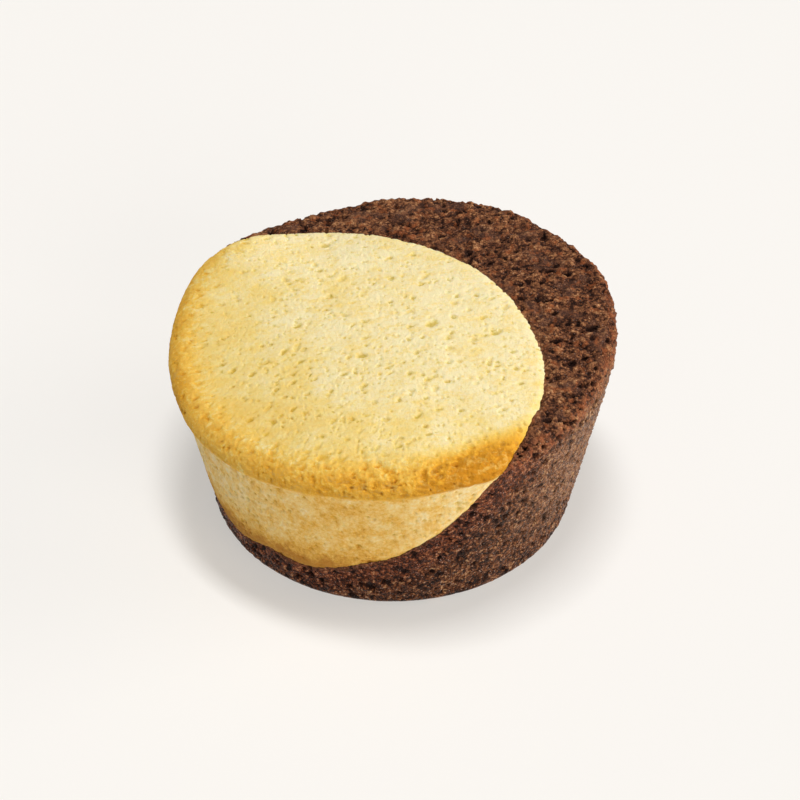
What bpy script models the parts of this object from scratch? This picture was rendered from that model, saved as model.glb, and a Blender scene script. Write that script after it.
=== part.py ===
# Small round two-tone sponge cake: a vanilla portion that sits as a bowl in a chocolate cake.
# Metres, +Z up, base centre at the origin, front of the cake towards -Y.

import math

import bmesh
import bpy
from mathutils import Vector, noise

MM = 0.001

# Tapered body
BASE_RADIUS = 24.2 * MM
WALL_SLOPE = 0.211
TOP_HEIGHT = 27.2 * MM
TOP_DOME = 1.2 * MM
TILT_RIGHT = 1.8 * MM
TILT_BACK = 1.3 * MM
RIM_WAVE = 0.45 * MM
RIM_WAVE_TURN = 73.0
RIM_DIP = (0.7 * MM, 112.0, 15.0)
RIM_CORNER = (0.75 * MM, 140.0, 12.0)
FOOT_RADIUS = 1.3 * MM

# Rounded shoulder and lip, first for the chocolate side and then for the vanilla side
SHOULDER_WIDTH = (2.2 * MM, 6.5 * MM)
SHOULDER_HEIGHT = (2.2 * MM, 3.0 * MM)
SHOULDER_POWER = 0.88
VANILLA_MIDDLE = 221.0
VANILLA_HALF = 82.0
VANILLA_BLEND = 24.0
LIP_DROP = 1.1 * MM
LIP_OUT = 0.3 * MM

# Local swells of the vanilla lip and of the whole rim: height, azimuth and width in degrees
LIP_SWELLS = ((1.4 * MM, 146.0, 22.0), (0.4 * MM, 182.0, 18.0), (0.5 * MM, 212.0, 20.0))
RIM_SWELLS = ((-0.5 * MM, 41.0, 11.0), (0.2 * MM, 20.0, 9.0), (-0.35 * MM, 340.0, 10.0))

# Bowl-shaped seam between the two sponges
BOWL_X = -13.3 * MM
BOWL_Y = -12.8 * MM
BOWL_BOTTOM = 2.75 * MM
BOWL_SPREAD = 44.0 * MM
BOWL_REACH = 41.0 * MM
BOWL_LID = 46.0 * MM
SEAM_GAP = 0.31 * MM

# Where the bowl bulges or draws in: distance, azimuth about its own axis and width in degrees
SEAM_SWELLS = (
    (0.9 * MM, 84.0, 12.0),
    (-0.47 * MM, 32.0, 22.0),
    (-1.5 * MM, 244.0, 32.0),
    (0.8 * MM, 324.0, 12.0),
    (-1.2 * MM, 341.0, 14.0),
)
SEAM_SWELL_START = 6.0 * MM

# Relief of the crumb
CHOCOLATE_CRAG = 0.55 * MM
CHOCOLATE_CRAG_SIZE = 3.6 * MM
VANILLA_SWELL = 0.26 * MM
VANILLA_SWELL_SIZE = 6.0 * MM
RELIEF_FADE = 2.2 * MM

# Mesh divisions
TOP_CELLS = 40
SHOULDER_ROWS = 6
LIP_ROWS = 2
WALL_ROWS = 8
FOOT_ROWS = 2
BOWL_SIDES = 74
BOWL_ROWS = 12


def smooth(t):
    t = min(1.0, max(0.0, t))
    return t * t * (3.0 - 2.0 * t)


def angle_from(azimuth, middle):
    return (azimuth - middle + 180.0) % 360.0 - 180.0


def swell(azimuth, bump):
    height, middle, width = bump
    return height * math.exp(-(angle_from(azimuth, middle) / width) ** 2)


def vanilla_share(azimuth):
    away = abs(angle_from(azimuth, VANILLA_MIDDLE))
    return smooth((VANILLA_HALF + VANILLA_BLEND / 2.0 - away) / VANILLA_BLEND)


def rim_shape(azimuth):
    """Tilt, local wave, lip overhang, shoulder width and shoulder height at an azimuth."""
    turn = math.radians(azimuth)
    share = vanilla_share(azimuth)
    tilt = TILT_RIGHT * math.cos(turn) + TILT_BACK * math.sin(turn)
    wave = RIM_WAVE * math.cos(3.0 * turn - math.radians(RIM_WAVE_TURN))
    wave += swell(azimuth, RIM_CORNER) - swell(azimuth, RIM_DIP)
    out = share * (LIP_OUT + sum(swell(azimuth, bump) for bump in LIP_SWELLS))
    out += sum(swell(azimuth, bump) for bump in RIM_SWELLS)
    width = SHOULDER_WIDTH[0] + (SHOULDER_WIDTH[1] - SHOULDER_WIDTH[0]) * share
    height = SHOULDER_HEIGHT[0] + (SHOULDER_HEIGHT[1] - SHOULDER_HEIGHT[0]) * share
    return tilt, wave, out, width, height


def wall_radius(height):
    return BASE_RADIUS + WALL_SLOPE * height


def lip_start(azimuth):
    tilt, wave, out, width, height = rim_shape(azimuth)
    level = TOP_HEIGHT + tilt + wave - height
    return level, wall_radius(level) + out


def point_at(azimuth, radius, height):
    turn = math.radians(azimuth)
    return Vector((radius * math.cos(turn), radius * math.sin(turn), height))


def top_point(azimuth, share):
    tilt, wave, out, width, height = rim_shape(azimuth)
    level, reach = lip_start(azimuth)
    lift = TOP_DOME * (1.0 - share * share)
    return point_at(azimuth, (reach - width) * share, TOP_HEIGHT + share * tilt + share ** 3 * wave + lift)


def shoulder_point(azimuth, share):
    tilt, wave, out, width, height = rim_shape(azimuth)
    level, reach = lip_start(azimuth)
    bend = math.radians(90.0 * (1.0 - share))
    across = max(0.0, math.cos(bend)) ** SHOULDER_POWER
    upward = max(0.0, math.sin(bend)) ** SHOULDER_POWER
    return point_at(azimuth, reach - width + width * across, level + height * upward)


def lip_point(azimuth, share):
    out = rim_shape(azimuth)[2]
    height = lip_start(azimuth)[0] - LIP_DROP * share
    return point_at(azimuth, wall_radius(height) + out * smooth(1.0 - share), height)


def wall_point(azimuth, share):
    upper = lip_start(azimuth)[0] - LIP_DROP
    height = upper + (FOOT_RADIUS - upper) * share
    return point_at(azimuth, wall_radius(height), height)


def foot_point(azimuth, share):
    bend = math.radians(90.0 * share)
    radius = wall_radius(FOOT_RADIUS) - FOOT_RADIUS * (1.0 - math.cos(bend))
    return point_at(azimuth, radius, FOOT_RADIUS * (1.0 - math.sin(bend)))


def disc_place(x, y):
    """Azimuth and radius share of a point of the square grid that is spread over the disc."""
    reach = max(abs(x), abs(y))
    if reach < 1e-9:
        return 0.0, 0.0
    if abs(x) >= abs(y):
        turn = 45.0 * y / x + (180.0 if x < 0.0 else 0.0)
    else:
        turn = 90.0 - 45.0 * x / y + (180.0 if y < 0.0 else 0.0)
    return turn % 360.0, reach


def chocolate_relief(point):
    place = point / CHOCOLATE_CRAG_SIZE
    coarse = noise.noise(place)
    fine = noise.noise(place * 2.1 + Vector((3.1, 7.7, 1.3)))
    return CHOCOLATE_CRAG * (coarse * 0.7 + fine * 0.3)


def vanilla_relief(point):
    place = point / VANILLA_SWELL_SIZE + Vector((11.0, 5.0, 2.0))
    return VANILLA_SWELL * noise.noise(place)


def add_rows(mesh, ring, azimuths, place, count):
    """Carry a closed ring of corners down the profile, with a band of quads for each row."""
    for row in range(count):
        share = (row + 1) / count
        lower = [mesh.verts.new(place(azimuth, share)) for azimuth in azimuths]
        for index in range(len(ring)):
            after = (index + 1) % len(ring)
            mesh.faces.new((ring[index], lower[index], lower[after], ring[after]))
        ring = lower
    return ring


def whole_cake(name, relief):
    """The whole round cake as one closed mesh, with the relief of one kind of sponge."""
    mesh = bmesh.new()
    bmesh.ops.create_grid(mesh, x_segments=TOP_CELLS, y_segments=TOP_CELLS, size=1.0)
    rim = []
    for vert in mesh.verts:
        azimuth, share = disc_place(vert.co.x, vert.co.y)
        if share > 1.0 - 1e-5:
            rim.append((azimuth, vert))
        vert.co = top_point(azimuth, share)
    rim.sort(key=lambda item: item[0])
    azimuths = [item[0] for item in rim]
    ring = [item[1] for item in rim]
    ring = add_rows(mesh, ring, azimuths, shoulder_point, SHOULDER_ROWS)
    ring = add_rows(mesh, ring, azimuths, lip_point, LIP_ROWS)
    ring = add_rows(mesh, ring, azimuths, wall_point, WALL_ROWS)
    ring = add_rows(mesh, ring, azimuths, foot_point, FOOT_ROWS)
    mesh.faces.new(list(reversed(ring)))
    bmesh.ops.recalc_face_normals(mesh, faces=mesh.faces[:])
    mesh.normal_update()
    moves = []
    for vert in mesh.verts:
        fade = smooth(vert.co.z / RELIEF_FADE)
        moves.append(vert.normal * (relief(vert.co) * fade))
    for vert, move in zip(mesh.verts, moves):
        vert.co += move
    return add_object(name, mesh)


def bowl_point(azimuth, radius, growth):
    """Point of the seam, moved outward by the growth and by the swells at its azimuth."""
    swells = sum(swell(azimuth, bump) for bump in SEAM_SWELLS)
    shift = growth + swells * smooth(radius / SEAM_SWELL_START)
    slope = 2.0 * radius / BOWL_SPREAD
    length = math.hypot(slope, 1.0)
    height = BOWL_BOTTOM + radius * radius / BOWL_SPREAD - shift / length
    return point_at(azimuth, radius + shift * slope / length, height)


def bowl(name, growth):
    """Solid bowl whose underside is the seam, moved outward by the growth, with a flat lid."""
    mesh = bmesh.new()
    middle = Vector((BOWL_X, BOWL_Y, 0.0))
    azimuths = [360.0 * side / BOWL_SIDES for side in range(BOWL_SIDES)]
    tip = mesh.verts.new(bowl_point(0.0, 0.0, growth) + middle)
    loops = []
    for row in range(1, BOWL_ROWS + 1):
        radius = BOWL_REACH * row / BOWL_ROWS
        loops.append([mesh.verts.new(bowl_point(azimuth, radius, growth) + middle) for azimuth in azimuths])
    loops.append([mesh.verts.new((vert.co.x, vert.co.y, BOWL_LID)) for vert in loops[-1]])
    for side in range(BOWL_SIDES):
        after = (side + 1) % BOWL_SIDES
        mesh.faces.new((tip, loops[0][side], loops[0][after]))
        for inner, outer in zip(loops, loops[1:]):
            mesh.faces.new((inner[side], outer[side], outer[after], inner[after]))
    mesh.faces.new(loops[-1])
    bmesh.ops.recalc_face_normals(mesh, faces=mesh.faces[:])
    cutter = add_object(name, mesh)
    cutter.hide_render = True
    cutter.display_type = "WIRE"
    return cutter


def add_object(name, mesh):
    data = bpy.data.meshes.new(name)
    mesh.to_mesh(data)
    mesh.free()
    for face in data.polygons:
        face.use_smooth = True
    item = bpy.data.objects.new(name, data)
    bpy.context.scene.collection.objects.link(item)
    return item


def cut(item, cutter, operation):
    step = item.modifiers.new("seam", "BOOLEAN")
    step.operation = operation
    step.solver = "EXACT"
    step.object = cutter


def sponge_material(name, colour, roughness):
    material = bpy.data.materials.new(name)
    material.use_nodes = True
    shader = material.node_tree.nodes["Principled BSDF"]
    shader.inputs["Base Color"].default_value = (*colour, 1.0)
    shader.inputs["Roughness"].default_value = roughness
    return material


def main():
    for item in list(bpy.data.objects):
        bpy.data.objects.remove(item, do_unlink=True)

    vanilla = whole_cake("vanilla_sponge", vanilla_relief)
    cut(vanilla, bowl("vanilla_bowl_cutter", 0.0), "INTERSECT")
    vanilla.data.materials.append(sponge_material("vanilla sponge", (0.80, 0.60, 0.28), 0.75))

    chocolate = whole_cake("chocolate_sponge", chocolate_relief)
    cut(chocolate, bowl("chocolate_bowl_cutter", SEAM_GAP), "DIFFERENCE")
    chocolate.data.materials.append(sponge_material("chocolate sponge", (0.075, 0.032, 0.018), 0.7))


main()
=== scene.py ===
import math

import bmesh
import bpy
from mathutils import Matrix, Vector


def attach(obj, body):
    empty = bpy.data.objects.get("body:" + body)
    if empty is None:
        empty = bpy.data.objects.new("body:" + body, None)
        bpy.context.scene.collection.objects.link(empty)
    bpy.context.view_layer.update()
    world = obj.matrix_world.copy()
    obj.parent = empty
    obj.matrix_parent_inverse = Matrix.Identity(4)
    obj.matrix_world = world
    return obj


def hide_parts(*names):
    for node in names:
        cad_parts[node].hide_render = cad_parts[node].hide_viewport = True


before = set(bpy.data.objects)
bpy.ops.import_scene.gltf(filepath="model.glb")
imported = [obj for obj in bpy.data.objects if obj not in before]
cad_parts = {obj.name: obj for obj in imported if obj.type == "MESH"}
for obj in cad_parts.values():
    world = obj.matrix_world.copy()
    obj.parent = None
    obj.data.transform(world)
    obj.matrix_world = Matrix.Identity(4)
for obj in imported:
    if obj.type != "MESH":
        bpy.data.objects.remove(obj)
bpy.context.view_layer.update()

# A round two-tone sponge cake. Both sponges are cut from one profile by a bowl-shaped seam.
# Lengths are in millimetres here and become metres where a mesh is made.

MM = 0.001

# Tapered body, as in the part's own source
BASE_RADIUS = 24.2
WALL_SLOPE = 0.211
TOP_HEIGHT = 27.2
TOP_DOME = 1.2
TILT_RIGHT = 1.8
TILT_BACK = 1.3
RIM_WAVE = 0.45
RIM_WAVE_TURN = 73.0
RIM_DIP = (0.7, 112.0, 15.0)
RIM_CORNER = (0.75, 140.0, 12.0)
FOOT_RADIUS = 1.3

# Shoulder and lip, chocolate side first and vanilla side second
SHOULDER_WIDTH = (2.2, 6.5)
SHOULDER_HEIGHT = (2.2, 3.0)
SHOULDER_POWER = 0.88
VANILLA_MIDDLE = 221.0
VANILLA_HALF = 82.0
VANILLA_BLEND = 24.0
LIP_DROP = 1.1
LIP_OUT = 0.3
LIP_SWELLS = ((1.4, 146.0, 22.0), (0.4, 182.0, 18.0), (0.5, 212.0, 20.0))
RIM_SWELLS = ((-0.5, 41.0, 11.0), (0.2, 20.0, 9.0), (-0.35, 340.0, 10.0))
SHOULDER_SWELLS = ((0.6, 226.0, 26.0), (-0.75, 287.0, 13.0))

# Bowl-shaped seam
BOWL_X = -13.3
BOWL_Y = -12.8
BOWL_BOTTOM = 2.75
BOWL_SPREAD = 44.0
BOWL_REACH = 41.0
BOWL_LID = 46.0
SEAM_SWELLS = (
    (0.9, 84.0, 12.0), (-0.2, 106.0, 8.0), (-0.47, 32.0, 22.0),
    (-1.5, 244.0, 32.0), (0.8, 324.0, 12.0), (-1.2, 341.0, 14.0),
)
SEAM_SWELL_START = 6.0

# Cut between the sponges: gap, rounding of the edges and how far the vanilla stands out
SEAM_GAP = 0.06
VANILLA_ROUNDING = 1.0
CHOCOLATE_ROUNDING = 0.8
VANILLA_PROUD = 0.1
SHARP_ANGLE = 70.0

# Grid cells across the top and the seam, and rows down the side
VANILLA_CELLS = 250
CHOCOLATE_CELLS = 222
SIDE_ROWS = 116
SEAM_CELLS = 170

# Where the rows of the side lie, as shares of its height in the grid
SHOULDER_END = 0.22
LIP_END = 0.30
WALL_END = 0.94

# Depth taken off the side's crumb, so that it lies around the plain wall
WALL_CENTRE = 0.22

# Camera and frame
FRAME_PIXELS = 800.0
CAMERA_ELEVATION = 40.0
CAMERA_DISTANCE = 440.0
CAMERA_TARGET_HEIGHT = 13.0
PIXELS_PER_MM = 7.4
TARGET_PIXEL = (392.8, 410.9)
SENSOR = 36.0
FLOOR_HALF = 2.0


class Field:
    """An output of a node tree that takes part in plain arithmetic."""

    def __init__(self, tree, socket):
        self.tree = tree
        self.socket = socket

    def __add__(self, other):
        return calc(self.tree, "ADD", self, other)

    def __radd__(self, other):
        return calc(self.tree, "ADD", other, self)

    def __sub__(self, other):
        return calc(self.tree, "SUBTRACT", self, other)

    def __rsub__(self, other):
        return calc(self.tree, "SUBTRACT", other, self)

    def __mul__(self, other):
        return calc(self.tree, "MULTIPLY", self, other)

    def __rmul__(self, other):
        return calc(self.tree, "MULTIPLY", other, self)

    def __truediv__(self, other):
        return calc(self.tree, "DIVIDE", self, other)

    def __pow__(self, other):
        return calc(self.tree, "POWER", self, other)


def wire(tree, socket, value):
    if isinstance(value, Field):
        tree.links.new(value.socket, socket)
    else:
        socket.default_value = value


def add_node(tree, kind, settings=None, inputs=None):
    item = tree.nodes.new(kind)
    for key, value in (settings or {}).items():
        setattr(item, key, value)
    for key, value in (inputs or {}).items():
        wire(tree, item.inputs[key], value)
    return item


def output(tree, kind, name=0, settings=None, inputs=None):
    return Field(tree, add_node(tree, kind, settings, inputs).outputs[name])


def calc(tree, operation, *values):
    inputs = dict(enumerate(values))
    return output(tree, "ShaderNodeMath", 0, {"operation": operation}, inputs)


def ramp(value, low, high, start=0.0, end=1.0, kind="SMOOTHSTEP"):
    """The value carried from low..high to start..end, held at both ends."""
    inputs = {"Value": value, "From Min": low, "From Max": high, "To Min": start, "To Max": end}
    return output(value.tree, "ShaderNodeMapRange", "Result", {"interpolation_type": kind}, inputs)


def pick(condition, yes, no):
    return no + (yes - no) * condition


def less(value, limit):
    return calc(value.tree, "LESS_THAN", value, limit)


def parts(vector):
    item = add_node(vector.tree, "ShaderNodeSeparateXYZ", None, {0: vector})
    return [Field(vector.tree, socket) for socket in item.outputs[:3]]


def joined(tree, x, y, z):
    return output(tree, "ShaderNodeCombineXYZ", 0, None, {"X": x, "Y": y, "Z": z})


def vector_calc(operation, first, second):
    key = "Scale" if operation == "SCALE" else 1
    return output(first.tree, "ShaderNodeVectorMath", 0, {"operation": operation}, {0: first, key: second})


def noise(place, scale, detail=2.0, roughness=0.5, offset=0.0):
    """Noise around zero, from about -0.5 to 0.5."""
    moved = vector_calc("ADD", place, (offset, offset * 0.7, -offset)) if offset else place
    inputs = {"Vector": moved, "Scale": scale, "Detail": detail, "Roughness": roughness}
    return output(place.tree, "ShaderNodeTexNoise", "Fac", None, inputs) - 0.5


def cells(place, scale, offset=0.0):
    """Distance to the nearest cell point, in cells, and three random numbers of that cell."""
    moved = vector_calc("ADD", place, (offset, -offset, offset * 0.6)) if offset else place
    item = add_node(place.tree, "ShaderNodeTexVoronoi", None, {"Vector": moved, "Scale": scale})
    colour = Field(place.tree, item.outputs["Color"])
    return Field(place.tree, item.outputs["Distance"]), parts(colour)


def pores(place, scale, share, radius, offset):
    """Depth share of round pores: a share of the cells holds one, each of its own size."""
    distance, luck = cells(place, scale, offset)
    own = ramp(luck[1], 0.0, 1.0, radius * 0.45, radius, "LINEAR")
    inside = ramp(distance / own, 0.35, 1.05, 1.0, 0.0)
    return inside * less(luck[0], share)


def swell(degrees, bump):
    height, middle, width = bump
    away = calc(degrees.tree, "FLOORED_MODULO", degrees - (middle - 180.0), 360.0) - 180.0
    share = away / width
    return height * calc(degrees.tree, "EXPONENT", share * share * -1.0)


def sum_of_swells(degrees, bumps):
    total = swell(degrees, bumps[0])
    for bump in bumps[1:]:
        total = total + swell(degrees, bump)
    return total


def disc_place(x, y):
    """Azimuth in radians and radius share of a square grid spread over a disc."""
    tree = x.tree
    across = calc(tree, "ABSOLUTE", x)
    along = calc(tree, "ABSOLUTE", y)
    reach = calc(tree, "MAXIMUM", across, along)
    wide = y / x * (math.pi / 4.0) + less(x, 0.0) * math.pi
    tall = math.pi / 2.0 - x / y * (math.pi / 4.0) + less(y, 0.0) * math.pi
    return pick(less(across, along), tall, wide), reach


def cake_profile(x, y, down):
    """Radius and height in millimetres of a point of the grid, with the azimuth's cosine and sine."""
    tree = x.tree
    turn, share = disc_place(x, y)
    degrees = turn * (180.0 / math.pi)
    cosine = calc(tree, "COSINE", turn)
    sine = calc(tree, "SINE", turn)
    away = calc(tree, "FLOORED_MODULO", degrees - (VANILLA_MIDDLE - 180.0), 360.0) - 180.0
    away = calc(tree, "ABSOLUTE", away)
    vanilla = ramp(away, VANILLA_HALF - VANILLA_BLEND / 2.0, VANILLA_HALF + VANILLA_BLEND / 2.0, 1.0, 0.0)
    tilt = TILT_RIGHT * cosine + TILT_BACK * sine
    wave = RIM_WAVE * calc(tree, "COSINE", turn * 3.0 - math.radians(RIM_WAVE_TURN))
    wave = wave - swell(degrees, RIM_DIP) + swell(degrees, RIM_CORNER)
    out = vanilla * (LIP_OUT + sum_of_swells(degrees, LIP_SWELLS)) + sum_of_swells(degrees, RIM_SWELLS)
    width = SHOULDER_WIDTH[0] + (SHOULDER_WIDTH[1] - SHOULDER_WIDTH[0]) * vanilla
    height = SHOULDER_HEIGHT[0] + (SHOULDER_HEIGHT[1] - SHOULDER_HEIGHT[0]) * vanilla
    height = height + sum_of_swells(degrees, SHOULDER_SWELLS)
    level = TOP_HEIGHT + tilt + wave - height
    reach = BASE_RADIUS + WALL_SLOPE * level + out

    top_radius = (reach - width) * share
    top_height = TOP_HEIGHT + share * tilt + share * share * share * wave
    top_height = top_height + TOP_DOME * (1.0 - share * share)

    bend = ramp(down, 0.0, SHOULDER_END, math.pi / 2.0, 0.0, "LINEAR")
    shoulder_radius = reach - width + width * calc(tree, "COSINE", bend) ** SHOULDER_POWER
    shoulder_height = level + height * calc(tree, "SINE", bend) ** SHOULDER_POWER
    fall = (tilt + wave * 3.0 - TOP_DOME * 2.0) / (reach - width)
    beyond = shoulder_radius - reach + width
    shoulder_height = shoulder_height + fall * beyond * calc(tree, "SINE", bend) ** 6.0

    part = ramp(down, SHOULDER_END, LIP_END, 0.0, 1.0, "LINEAR")
    lip_height = level - LIP_DROP * part
    tuck = ramp(part, 0.0, 1.0, 1.0, 0.0)
    lip_radius = BASE_RADIUS + WALL_SLOPE * lip_height + out * tuck

    part = ramp(down, LIP_END, WALL_END, 0.0, 1.0, "LINEAR")
    upper = level - LIP_DROP
    wall_height = upper + (FOOT_RADIUS - upper) * part
    wall_radius = BASE_RADIUS + WALL_SLOPE * wall_height

    bend = ramp(down, WALL_END, 1.0, 0.0, math.pi / 2.0, "LINEAR")
    foot_radius = BASE_RADIUS + WALL_SLOPE * FOOT_RADIUS - FOOT_RADIUS * (1.0 - calc(tree, "COSINE", bend))
    foot_radius = foot_radius * share
    foot_height = FOOT_RADIUS * (1.0 - calc(tree, "SINE", bend))

    radius = foot_radius
    rise = foot_height
    for limit, near_radius, near_height in (
        (WALL_END, wall_radius, wall_height),
        (LIP_END, lip_radius, lip_height),
        (SHOULDER_END, shoulder_radius, shoulder_height),
        (0.0001, top_radius, top_height),
    ):
        near = less(down, limit)
        radius = pick(near, near_radius, radius)
        rise = pick(near, near_height, rise)
    return radius, rise, cosine, sine


def read_attribute(tree, name):
    settings = {"data_type": "FLOAT"}
    return output(tree, "GeometryNodeInputNamedAttribute", "Attribute", settings, {"Name": name})


def store(tree, mesh, name, value):
    settings = {"data_type": "FLOAT", "domain": "POINT"}
    inputs = {"Geometry": mesh, "Name": name, "Value": value}
    return output(tree, "GeometryNodeStoreNamedAttribute", 0, settings, inputs)


def seam_swell(degrees, radius):
    """How far the seam bulges beyond the plain bowl, in millimetres."""
    return sum_of_swells(degrees, SEAM_SWELLS) * ramp(radius, 0.0, SEAM_SWELL_START)


def seam_depth(tree, place):
    """Signed distance in millimetres from the seam, positive on the vanilla side."""
    x, y, z = parts(place)
    across = x - BOWL_X
    along = y - BOWL_Y
    spread = across * across + along * along
    gap = z - BOWL_BOTTOM - spread / BOWL_SPREAD
    slope = spread * (4.0 / BOWL_SPREAD ** 2) + 1.0
    degrees = calc(tree, "ARCTAN2", along, across) * (180.0 / math.pi)
    return gap / calc(tree, "SQRT", slope) + seam_swell(degrees, calc(tree, "SQRT", spread))


def vanilla_pores(tree, place, down):
    """Depth share of the vanilla's pores, which lie denser in some places."""
    x, y, z = parts(place)
    side = ramp(down, SHOULDER_END * 0.9, LIP_END)
    warp = noise(place, 0.30, 1.0, 0.5, 4.0)
    ragged = noise(place, 1.4, 2.0, 0.6, 14.0)
    across = x * 0.75 + warp * 1.6 + ragged * 1.0
    stretched = joined(tree, across, y - x * 0.08 + warp * 2.2 + ragged * 1.0, z)
    dense = ramp(noise(place, 0.09, 1.0, 0.5, 6.0), -0.12, 0.12)
    large = pores(stretched, 0.46, 0.14 + dense * 0.22, 0.34, 3.0) * 0.85
    small = pores(stretched, 0.85, 0.45 + dense * 0.45, 0.42, 9.0)
    tiny = pores(place, 1.35, 0.35 + dense * 0.30, 0.42, 19.0)
    pore = calc(tree, "MAXIMUM", calc(tree, "MAXIMUM", large, small * 0.85), tiny * 0.65)
    return pore * (1.0 - side * 0.1)


def vanilla_relief(tree, place, down, amount):
    """Inward depth in millimetres of the vanilla's crumb, and its pore share."""
    x, y, z = parts(place)
    side = ramp(down, SHOULDER_END * 0.9, LIP_END)
    shoulder = ramp(down, 0.0, SHOULDER_END * 0.5) * (1.0 - side)
    pore = vanilla_pores(tree, place, down)
    swells = noise(place, 0.14, 2.0, 0.5, 7.0) * 0.4
    fine = noise(place, 1.5, 3.0, 0.7, 1.0)
    cosine = math.cos(math.radians(VANILLA_MIDDLE))
    sine = math.sin(math.radians(VANILLA_MIDDLE))
    around = calc(tree, "ARCTAN2", y * cosine - x * sine, x * cosine + y * sine) * 28.0
    radius = calc(tree, "SQRT", x * x + y * y)
    flakes = noise(joined(tree, around * 0.45, radius * 0.9, z * 1.3), 0.95, 4.0, 0.65, 12.0)
    flakes = calc(tree, "ABSOLUTE", flakes) * 2.4 - 0.22 + flakes * 0.5
    degrees = calc(tree, "ARCTAN2", y, x) * (180.0 / math.pi)
    flakes = flakes * (swell(degrees, (1.0, 275.0, 38.0)) + 0.30)
    flakes = flakes * ramp(down, SHOULDER_END * 0.55, SHOULDER_END * 0.9, 1.0, 0.45)
    depth = pore * 0.34 + swells + fine * (0.18 + side * 0.10) + flakes * (shoulder * 1.0)
    return depth * amount, pore


def chocolate_relief(tree, place, down, amount):
    """Inward depth in millimetres of the chocolate's crumb, and its pore share."""
    side = ramp(down, SHOULDER_END * 0.4, LIP_END)
    crag = noise(place, 0.38, 4.0, 0.62, 2.0)
    far, luck = cells(place, 0.95, 5.0)
    grain = far * 0.42 + luck[0] * 0.22
    deep = ramp(noise(place, 0.62, 2.0, 0.6, 21.0), 0.10, 0.20)
    x, y, z = parts(place)
    outer = ramp(calc(tree, "SQRT", x * x + y * y), 20.0, 27.0)
    shift = noise(place, 1.5, 2.0, 0.6, 57.0) * 0.8
    ragged = joined(tree, x + shift, y + shift * 0.5, z + noise(place, 1.5, 2.0, 0.6, 67.0) * 0.8)
    pore = pores(ragged, 0.62, 0.30 + outer * 0.4, 0.36 + outer * 0.08, 8.0)
    hollow = calc(tree, "MAXIMUM", deep, pore)
    top = crag * 1.0 + grain + hollow * 0.75
    skin = calc(tree, "MAXIMUM", crag * 0.9, -0.06)
    close = cells(place, 1.7, 61.0)[0]
    wall = skin + grain * 0.5 + close * 0.32 + pore * 0.55 + deep * 0.25 - WALL_CENTRE
    return pick(side, wall, top) * amount, hollow


def bowl_mesh(tree, growth, cut_cells):
    """Closed bowl whose underside is the seam, moved out by the growth in millimetres."""
    cube = add_node(tree, "GeometryNodeMeshCube", None, {"Size": (2.0, 2.0, 1.0), "Vertices Z": 3})
    for key in ("Vertices X", "Vertices Y"):
        wire(tree, cube.inputs[key], cut_cells)
    x, y, z = parts(output(tree, "GeometryNodeInputPosition"))
    turn, share = disc_place(x, y)
    radius = share * BOWL_REACH
    cosine = calc(tree, "COSINE", turn)
    sine = calc(tree, "SINE", turn)
    floor = BOWL_BOTTOM + radius * radius / BOWL_SPREAD
    flat = joined(tree, BOWL_X + radius * cosine, BOWL_Y + radius * sine, floor)
    crumbs = noise(flat, 0.95, 2.0, 0.6, 31.0) * 0.95 + noise(flat, 0.22, 1.0, 0.5, 17.0) * 0.7
    shift = growth + crumbs + seam_swell(turn * (180.0 / math.pi), radius)
    slope = radius * (2.0 / BOWL_SPREAD)
    length = calc(tree, "SQRT", slope * slope + 1.0)
    under = less(z, 0.4)
    low = less(z, -0.4)
    wide = radius + shift * slope / length * low
    seam = floor - shift / length
    height = pick(under, pick(low, seam, BOWL_LID - 1.0), calc(tree, "ADD", BOWL_LID, 0.0))
    spot = joined(tree, (BOWL_X + wide * cosine) * MM, (BOWL_Y + wide * sine) * MM, height * MM)
    inputs = {"Geometry": Field(tree, cube.outputs["Mesh"]), "Position": spot}
    return output(tree, "GeometryNodeSetPosition", 0, None, inputs)


INPUTS = (
    ("Top cells", "NodeSocketInt"),
    ("Side rows", "NodeSocketInt"),
    ("Seam cells", "NodeSocketInt"),
    ("Seam growth", "NodeSocketFloat"),
    ("Edge rounding", "NodeSocketFloat"),
    ("Standing proud", "NodeSocketFloat"),
    ("Relief", "NodeSocketFloat"),
)


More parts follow.
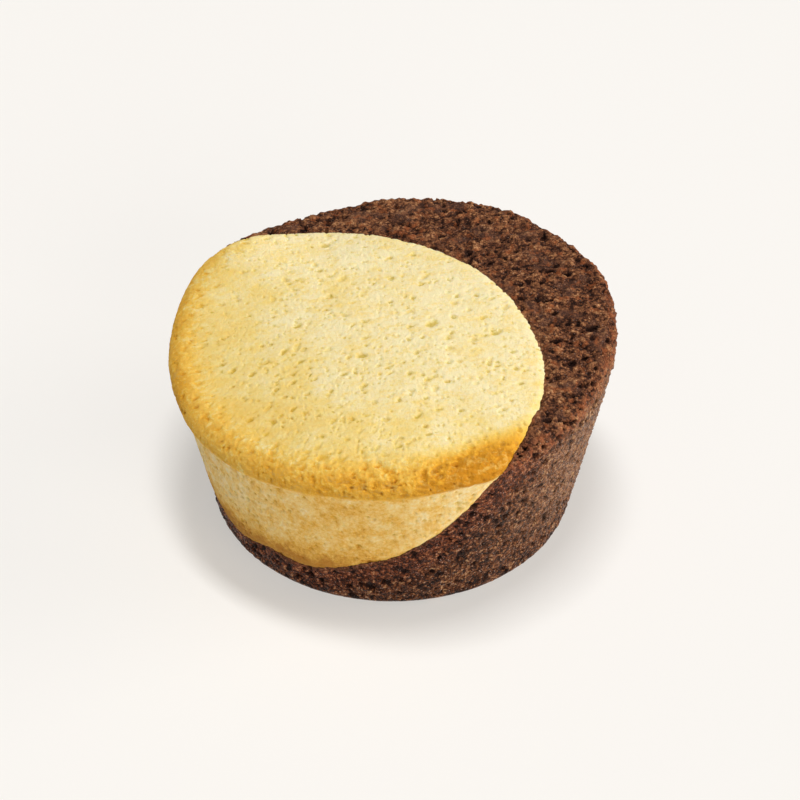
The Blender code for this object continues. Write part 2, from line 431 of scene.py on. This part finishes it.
def sponge_tree(name, relief, operation, material, side_sign):
    """Node tree of one sponge: profile, crumb relief, seam cut and material."""
    tree = bpy.data.node_groups.new(name, "GeometryNodeTree")
    for label, kind in INPUTS:
        tree.interface.new_socket(label, in_out="INPUT", socket_type=kind)
    tree.interface.new_socket("Geometry", in_out="OUTPUT", socket_type="NodeSocketGeometry")
    entry = tree.nodes.new("NodeGroupInput")
    given = {label: Field(tree, entry.outputs[label]) for label, kind in INPUTS}

    cube = add_node(tree, "GeometryNodeMeshCube", None, {"Size": (2.0, 2.0, 1.0)})
    for key, label in (("Vertices X", "Top cells"), ("Vertices Y", "Top cells"), ("Vertices Z", "Side rows")):
        wire(tree, cube.inputs[key], given[label])
    mesh = Field(tree, cube.outputs["Mesh"])
    x, y, z = parts(output(tree, "GeometryNodeInputPosition"))
    mesh = store(tree, mesh, "down", 0.5 - z)
    down = read_attribute(tree, "down")
    radius, rise, cosine, sine = cake_profile(x, y, down)
    spot = joined(tree, radius * cosine * MM, radius * sine * MM, rise * MM)
    mesh = output(tree, "GeometryNodeSetPosition", 0, None, {"Geometry": mesh, "Position": spot})

    place = vector_calc("SCALE", output(tree, "GeometryNodeInputPosition"), 1000.0)
    inward, pore = relief(tree, place, down, given["Relief"])
    mesh = store(tree, mesh, "pore", pore)
    mesh = store(tree, mesh, "depth", inward)
    depth = read_attribute(tree, "depth")
    place = vector_calc("SCALE", output(tree, "GeometryNodeInputPosition"), 1000.0)
    away = seam_depth(tree, place) * side_sign
    rounded = ramp(away / given["Edge rounding"], -0.2, 1.0, 0.0, 1.0)
    edge = 1.0 - rounded
    outward = given["Standing proud"] * rounded - edge * edge * 0.25 - depth
    z = parts(place)[2]
    outward = outward * ramp(z, 0.0, 1.6) * MM
    normal = output(tree, "GeometryNodeInputNormal")
    push = vector_calc("SCALE", normal, outward)
    mesh = output(tree, "GeometryNodeSetPosition", 0, None, {"Geometry": mesh, "Offset": push})

    bowl = bowl_mesh(tree, given["Seam growth"], given["Seam cells"])
    cutting = add_node(tree, "GeometryNodeMeshBoolean", {"operation": operation, "solver": "MANIFOLD"})
    wire(tree, cutting.inputs["Mesh 1" if operation == "DIFFERENCE" else "Mesh 2"], mesh)
    wire(tree, cutting.inputs["Mesh 2"], bowl)
    result = Field(tree, cutting.outputs["Mesh"])
    for label in ("down", "pore", "depth"):
        inputs = {"Mesh": mesh, "Value": read_attribute(tree, label)}
        sampled = output(tree, "GeometryNodeSampleNearestSurface", "Value", {"data_type": "FLOAT"}, inputs)
        result = store(tree, result, label, sampled)
    result = output(tree, "GeometryNodeRealizeInstances", 0, None, {"Geometry": result})
    result = output(tree, "GeometryNodeSetMaterial", 0, None, {"Geometry": result, "Material": material})
    leave = tree.nodes.new("NodeGroupOutput")
    tree.links.new(result.socket, leave.inputs["Geometry"])
    return tree


def remove_folds(mesh):
    """Takes out both triangles wherever two lie on the same three corners, as a fold of no thickness."""
    twins = {}
    for face in mesh.faces:
        twins.setdefault(frozenset(face.verts), []).append(face)
    folds = [face for group in twins.values() if len(group) == 2 for face in group]
    bmesh.ops.delete(mesh, geom=folds, context="FACES")


def sponge_piece(name, tree, values):
    """Plain mesh made by the tree; the faces on the floor, where the cake rests, are merged before all faces
    are cut into triangles.
    """
    source = bpy.data.objects.new(name + "_source", bpy.data.meshes.new(name + "_source"))
    bpy.context.scene.collection.objects.link(source)
    modifier = source.modifiers.new("sponge", "NODES")
    modifier.node_group = tree
    sockets = {item.name: item.identifier for item in tree.interface.items_tree if item.in_out == "INPUT"}
    for label, value in values.items():
        modifier[sockets[label]] = value
    graph = bpy.context.evaluated_depsgraph_get()
    data = bpy.data.meshes.new_from_object(source.evaluated_get(graph), depsgraph=graph)
    data.name = name
    bpy.data.objects.remove(source, do_unlink=True)

    mesh = bmesh.new()
    mesh.from_mesh(data)
    bmesh.ops.dissolve_degenerate(mesh, edges=mesh.edges, dist=0.001 * MM)
    flat = [face for face in mesh.faces if all(vert.co.z < 1e-6 for vert in face.verts)]
    if flat:
        bmesh.ops.dissolve_faces(mesh, faces=flat)
    bmesh.ops.triangulate(mesh, faces=mesh.faces)
    remove_folds(mesh)
    for face in mesh.faces:
        face.smooth = True
    mesh.to_mesh(data)
    mesh.free()
    data.set_sharp_from_angle(angle=math.radians(SHARP_ANGLE))
    piece = bpy.data.objects.new(name, data)
    bpy.context.scene.collection.objects.link(piece)
    print(name, len(data.vertices), "corners", len(data.polygons), "triangles")
    return piece


def new_material(name):
    material = bpy.data.materials.new(name)
    material.use_nodes = True
    tree = material.node_tree
    return material, tree, tree.nodes["Principled BSDF"]


def mixed(share, first, second, blend="MIX"):
    item = add_node(share.tree, "ShaderNodeMix", {"data_type": "RGBA", "blend_type": blend})
    wire(share.tree, item.inputs[0], share)
    for socket, colour in ((item.inputs[6], first), (item.inputs[7], second)):
        wire(share.tree, socket, colour if isinstance(colour, Field) else (*colour, 1.0))
    return Field(share.tree, item.outputs[2])


def attribute(tree, name):
    return output(tree, "ShaderNodeAttribute", "Fac", {"attribute_name": name})


def object_place(tree):
    return vector_calc("SCALE", output(tree, "ShaderNodeTexCoord", "Object"), 1000.0)


def colour_steps(share, steps):
    """Colour ramp through the given (place, colour) steps."""
    item = add_node(share.tree, "ShaderNodeValToRGB", None, {"Fac": share})
    stops = item.color_ramp.elements
    while len(stops) < len(steps):
        stops.new(1.0)
    for stop, (spot, colour) in zip(stops, steps):
        stop.position = spot
        stop.color = (*colour, 1.0)
    return Field(share.tree, item.outputs["Color"])


def vanilla_material():
    material, tree, shader = new_material("vanilla_sponge")
    place = object_place(tree)
    x, y, z = parts(place)
    down = attribute(tree, "down")
    pore = vanilla_pores(tree, place, down)
    radius = calc(tree, "SQRT", x * x + y * y)
    west = (x * -0.80 - y * 0.60) / 29.5
    clouds = noise(place, 0.16, 3.0, 0.55, 3.0)
    flat = joined(tree, x * 0.55, y - x * 0.1, z)
    specks = noise(flat, 0.90, 4.0, 0.7, 15.0)
    grain = noise(place, 2.4, 3.0, 0.75, 25.0)
    shoulder = ramp(down, 0.0, SHOULDER_END * 0.5) * ramp(down, SHOULDER_END, LIP_END, 1.0, 0.0)
    depth = attribute(tree, "depth")
    degrees = calc(tree, "ARCTAN2", y, x) * (180.0 / math.pi)
    # Browning of the crust, with painted light and shade added where noted below
    browning_and_painted_shading = ramp(west, -0.25, 1.0, 0.0, 0.26) * ramp(radius, 6.0, 29.0, 0.25, 1.0)
    browning_and_painted_shading = browning_and_painted_shading + ramp(radius, 23.0, 28.5, 0.0, 0.14)
    browning_and_painted_shading = browning_and_painted_shading + ramp(down, SHOULDER_END * 0.15, SHOULDER_END * 0.70, 0.0, 0.27)
    browning_and_painted_shading = browning_and_painted_shading + swell(degrees, (0.70, 296.0, 19.0)) * ramp(radius, 23.3, 27.3)
    # Painted light: less browning on the front-left shoulder makes its steep face lighter, to offset the
    # shade that falls there
    browning_and_painted_shading = browning_and_painted_shading + swell(degrees, (-0.13, 226.0, 18.0)) * shoulder
    browning_and_painted_shading = browning_and_painted_shading + clouds * 0.5 + specks * (0.40 + shoulder * 0.9) + grain * (0.25 + shoulder * 0.6)
    # Painted shade: the depth term makes the colour browner in the relief's hollows and paler on its crests,
    # as shade and light fall on the crumb
    browning_and_painted_shading = browning_and_painted_shading + depth * (0.25 + shoulder * 0.55) + 0.06
    crust = colour_steps(browning_and_painted_shading, (
        (0.00, (0.83, 0.73, 0.44)),
        (0.22, (0.81, 0.63, 0.24)),
        (0.45, (0.80, 0.51, 0.10)),
        (0.72, (0.74, 0.37, 0.034)),
        (1.00, (0.54, 0.23, 0.014)),
    ))
    crust = mixed(ramp(specks + grain * 0.5, -0.02, 0.20, 0.0, 0.40), crust, (0.82, 0.60, 0.17))
    below = ramp(down + specks * 0.06, SHOULDER_END, SHOULDER_END + 0.08)
    spots = noise(place, 0.50, 3.0, 0.65, 35.0) + grain * 0.7
    # Painted shade: seam and low darken and brown the side towards the bottom, near the seam and the floor,
    # where less light reaches it
    seam = ramp(seam_depth(tree, place), 0.0, 7.0, 1.0, 0.0) * ramp(z, 2.0, 13.0, 1.0, 0.0)
    low = ramp(z, 4.0, 13.0, 0.27, 0.0)
    flank = colour_steps(spots * 1.4 + 0.24 + seam * 0.75 + low + swell(degrees, (0.24, 255.0, 25.0)), (
        (0.00, (0.86, 0.70, 0.38)),
        (0.35, (0.84, 0.57, 0.19)),
        (0.65, (0.76, 0.42, 0.075)),
        (1.00, (0.48, 0.20, 0.025)),
    ))
    # Painted shade: dark brown near the bottom of the seam
    flank = mixed(seam * 0.60, flank, (0.42, 0.22, 0.05))
    colour = mixed(below, crust, flank)
    pore = pore * (1.0 - shoulder * 0.8)
    # Pores: a yellower crumb tint, which is real, and darker deep cores, which are painted shade in the
    # hollows
    colour = mixed(pore * 0.85, colour, (0.86, 0.82, 0.42), "MULTIPLY")
    colour = mixed(ramp(pore, 0.55, 0.95, 0.0, 0.55), colour, (0.66, 0.60, 0.45), "MULTIPLY")
    wire(tree, shader.inputs["Base Color"], colour)
    shader.inputs["Roughness"].default_value = 0.8
    shader.inputs["Specular IOR Level"].default_value = 0.08
    shader.inputs["Subsurface Weight"].default_value = 0.2
    shader.inputs["Subsurface Radius"].default_value = (1.0, 0.6, 0.25)
    shader.inputs["Subsurface Scale"].default_value = 0.001
    add_bump(shader, noise(place, 1.7, 4.0, 0.7, 45.0), 0.24)
    return material


def add_bump(shader, height, depth):
    """Fine crumb below the mesh's own detail; the depth is in millimetres."""
    tree = height.tree
    bump = add_node(tree, "ShaderNodeBump", None, {"Height": height, "Distance": depth * MM, "Strength": 1.0})
    tree.links.new(bump.outputs["Normal"], shader.inputs["Normal"])


def chocolate_material():
    material, tree, shader = new_material("chocolate_sponge")
    place = object_place(tree)
    down = attribute(tree, "down")
    pore = attribute(tree, "pore")
    depth = attribute(tree, "depth")
    patches = noise(place, 0.30, 3.0, 0.6, 3.0)
    specks = noise(place, 1.2, 3.0, 0.75, 13.0)
    far, luck = cells(place, 2.2, 23.0)
    near, chance = cells(place, 3.8, 53.0)
    # Random tone per grain, and painted shade that darkens the gaps between the grains
    grain = (luck[0] - 0.5) * 0.20 + (chance[0] - 0.5) * 0.34 + (0.45 - far) * 0.20 + (0.45 - near) * 0.20
    rusty = noise(place, 0.75, 3.0, 0.6, 33.0)
    # Tone of the crumb top; the depth term is painted shade, darker in the relief's hollows
    light = 0.72 + patches * 0.5 + specks * 1.5 + grain * 1.3 - depth * 0.75
    colour = colour_steps(light, (
        (0.00, (0.014, 0.005, 0.003)),
        (0.28, (0.062, 0.022, 0.012)),
        (0.50, (0.165, 0.062, 0.029)),
        (0.74, (0.33, 0.138, 0.058)),
        (1.00, (0.52, 0.27, 0.13)),
    ))
    matt = noise(place, 0.28, 2.0, 0.5, 43.0)
    colour = mixed(ramp(matt, 0.05, 0.14, 0.0, 0.45), colour, (0.115, 0.054, 0.037))
    colour = mixed(ramp(rusty, 0.05, 0.16, 0.0, 0.5), colour, (0.36, 0.100, 0.030))
    side = ramp(down, SHOULDER_END * 0.5, LIP_END)
    x, y, z = parts(place)
    degrees = calc(tree, "ARCTAN2", y, x) * (180.0 / math.pi)
    # Painted sheen: a paler band high on the right of the wall, where the right lamp's sheen falls
    painted_sheen_right = swell(degrees, (1.0, 335.0, 26.0)) * ramp(z, 0.0, 13.0)
    # The pore term darkens the wall's pores as painted shade
    flank = colour_steps(0.48 + painted_sheen_right * 0.18 + patches * 0.7 + specks * 1.2 + grain * 1.9 - pore * 0.5, (
        (0.00, (0.014, 0.005, 0.003)),
        (0.30, (0.055, 0.018, 0.008)),
        (0.55, (0.150, 0.048, 0.018)),
        (0.80, (0.33, 0.130, 0.052)),
        (1.00, (0.56, 0.33, 0.17)),
    ))
    # Painted sheen: tan-grey mix on the right of the wall
    flank = mixed(painted_sheen_right * 0.30, flank, (0.36, 0.20, 0.11))
    colour = mixed(side, colour, flank)
    # Painted glints: small pale specks, mostly on the side, as highlights of tiny shiny grains
    painted_glints = ramp(chance[1], 0.80, 0.92) * ramp(near, 0.20, 0.42, 1.0, 0.0)
    colour = mixed(painted_glints * (0.25 + side * 0.45), colour, (0.58, 0.43, 0.36))
    crest = ramp(down, SHOULDER_END * 0.15, SHOULDER_END * 0.6)
    crest = crest * ramp(down, SHOULDER_END * 0.9, LIP_END, 1.0, 0.0)
    colour = mixed(crest * ramp(luck[1] + specks, 0.35, 0.75, 0.0, 0.55), colour, (0.34, 0.105, 0.042))
    beyond = seam_depth(tree, place) * -1.0
    reddish = ramp(beyond + patches * 5.0, 1.0, 6.5, 0.65, 0.0) * side
    colour = mixed(reddish, colour, (1.0, 0.62, 0.55), "MULTIPLY")
    along = ramp(beyond + specks * 2.5, 0.0, 0.7, 0.45, 0.0)
    colour = mixed(along, colour, (0.30, 0.125, 0.055))
    # Painted shade: the pores are made near black, as shade fills the holes
    colour = mixed(pore * 0.90, colour, (0.018, 0.005, 0.003))
    wire(tree, shader.inputs["Base Color"], colour)
    wire(tree, shader.inputs["Roughness"], 0.85 - side * 0.48 + grain * 0.7)
    shader.inputs["Specular IOR Level"].default_value = 0.12
    add_bump(shader, noise(place, 2.3, 3.0, 0.75, 45.0) * 0.8 - far * 0.35 - near * 0.30, 0.6)
    return material


def add_camera():
    turn = math.radians(CAMERA_ELEVATION)
    camera = bpy.data.objects.new("camera", bpy.data.cameras.new("camera"))
    bpy.context.scene.collection.objects.link(camera)
    back = -CAMERA_DISTANCE * math.cos(turn)
    above = CAMERA_TARGET_HEIGHT + CAMERA_DISTANCE * math.sin(turn)
    camera.location = (0.0, back * MM, above * MM)
    camera.rotation_euler = (math.pi / 2.0 - turn, 0.0, 0.0)
    camera.data.sensor_width = SENSOR
    camera.data.lens = SENSOR * CAMERA_DISTANCE * PIXELS_PER_MM / FRAME_PIXELS
    camera.data.shift_x = (FRAME_PIXELS / 2.0 - TARGET_PIXEL[0]) / FRAME_PIXELS
    camera.data.shift_y = (TARGET_PIXEL[1] - FRAME_PIXELS / 2.0) / FRAME_PIXELS
    camera.data.clip_start = 0.01
    bpy.context.scene.camera = camera


def add_sun(name, azimuth, elevation, strength, spread, colour):
    light = bpy.data.lights.new(name, "SUN")
    light.energy = strength
    light.angle = math.radians(spread)
    light.color = colour
    item = bpy.data.objects.new(name, light)
    bpy.context.scene.collection.objects.link(item)
    turn = math.radians(azimuth)
    rise = math.radians(elevation)
    towards = Vector((math.cos(turn) * math.cos(rise), math.sin(turn) * math.cos(rise), math.sin(rise)))
    item.rotation_euler = towards.to_track_quat("Z", "Y").to_euler()
    item.location = towards * 0.5


def add_panel(name, spot, width, height, power, colour):
    """Soft box that faces the cake, with its long side from left to right."""
    light = bpy.data.lights.new(name, "AREA")
    light.shape = "RECTANGLE"
    light.size = width
    light.size_y = height
    light.energy = power
    light.color = colour
    item = bpy.data.objects.new(name, light)
    bpy.context.scene.collection.objects.link(item)
    item.location = spot
    item.rotation_euler = Vector(spot).to_track_quat("Z", "Y").to_euler()


def add_floor():
    data = bpy.data.meshes.new("floor")
    corners = [(x * FLOOR_HALF, y * FLOOR_HALF, 0.0) for x, y in ((-1, -1), (1, -1), (1, 1), (-1, 1))]
    data.from_pydata(corners, [], [(0, 1, 2, 3)])
    material, _, shader = new_material("floor")
    shader.inputs["Base Color"].default_value = (0.40, 0.40, 0.405, 1.0)
    shader.inputs["Roughness"].default_value = 1.0
    shader.inputs["Specular IOR Level"].default_value = 0.0
    shader.inputs["Emission Color"].default_value = (0.495, 0.477, 0.45, 1.0)
    shader.inputs["Emission Strength"].default_value = 1.0
    data.materials.append(material)
    item = bpy.data.objects.new("floor", data)
    bpy.context.scene.collection.objects.link(item)


def add_world():
    world = bpy.data.worlds.new("studio")
    bpy.context.scene.world = world
    world.use_nodes = True
    shader = world.node_tree.nodes["Background"]
    shader.inputs["Color"].default_value = (1.0, 0.99, 0.97, 1.0)
    shader.inputs["Strength"].default_value = 0.13


def main():
    bpy.context.scene.view_settings.view_transform = "Standard"
    add_camera()
    add_world()
    add_floor()
    add_panel("key", (0.02, 0.02, 1.0), 0.36, 0.16, 7.9, (1.0, 0.985, 0.95))
    add_sun("front", 303.0, 10.0, 1.7, 50.0, (1.0, 0.97, 0.92))
    add_sun("right", 5.0, 9.0, 2.6, 40.0, (1.0, 0.90, 0.79))

    vanilla_tree = sponge_tree("vanilla sponge", vanilla_relief, "INTERSECT", vanilla_material(), 1.0)
    values = {
        "Top cells": VANILLA_CELLS,
        "Side rows": SIDE_ROWS,
        "Seam cells": SEAM_CELLS,
        "Seam growth": 0.0,
        "Edge rounding": VANILLA_ROUNDING,
        "Standing proud": VANILLA_PROUD,
        "Relief": 1.0,
    }
    vanilla = sponge_piece("vanilla_sponge_crumb", vanilla_tree, values)
    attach(vanilla, "root")
    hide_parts("vanilla_sponge")

    material = chocolate_material()
    chocolate_tree = sponge_tree("chocolate sponge", chocolate_relief, "DIFFERENCE", material, -1.0)
    values["Top cells"] = CHOCOLATE_CELLS
    values["Seam growth"] = SEAM_GAP
    values["Edge rounding"] = CHOCOLATE_ROUNDING
    values["Standing proud"] = 0.0
    chocolate = sponge_piece("chocolate_sponge_crumb", chocolate_tree, values)
    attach(chocolate, "root")
    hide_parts("chocolate_sponge")


main()
